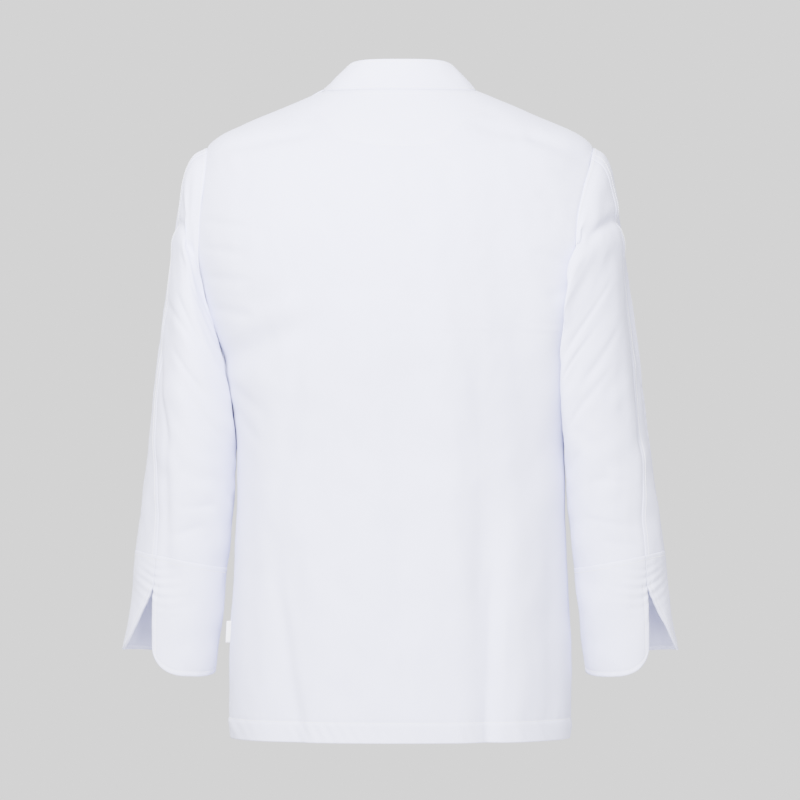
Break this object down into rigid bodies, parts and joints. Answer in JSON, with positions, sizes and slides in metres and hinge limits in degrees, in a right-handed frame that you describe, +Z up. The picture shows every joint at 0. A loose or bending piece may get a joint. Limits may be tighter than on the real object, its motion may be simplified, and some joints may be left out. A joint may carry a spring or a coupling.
{
  "type": "chef jacket",
  "caption": "Long-sleeved double-breasted chef jacket with a stand collar, a one-piece back, deep slit cuffs and a stitched hem, filled out as if worn.",
  "frame": {"origin": "middle of the neck base, level with the seam of the collar at the back; a wearer's shoulders and neck hold the jacket there", "axes": "+Z up towards the collar, +Y towards the wearer's back, +X towards the wearer's left"},
  "size_m": [0.6561, 0.296, 0.8111],
  "materials": {
    "twill": "white fine twill of cotton and polyester, matt",
    "doubled_twill": "the same twill, two layers with edge stitching",
    "ribbon": "white satin ribbon, plain",
    "button_resin": "white resin, softly polished"
  },
  "bodies": {
    "root": {"back": "twill", "front_left": "twill", "front_right": "twill", "neck_facing": "twill", "sleeve_left_upper": "twill", "sleeve_left_under": "twill", "sleeve_right_upper": "twill", "sleeve_right_under": "twill", "collar": "doubled_twill", "cuff_left": "doubled_twill", "cuff_right": "doubled_twill", "side_label": "ribbon", "button_left_1": "button_resin", "button_left_2": "button_resin", "button_left_3": "button_resin", "button_left_4": "button_resin", "button_left_5": "button_resin", "button_right_1": "button_resin", "button_right_2": "button_resin", "button_right_3": "button_resin", "button_right_4": "button_resin", "button_right_5": "button_resin"}
  },
  "joints": []
}
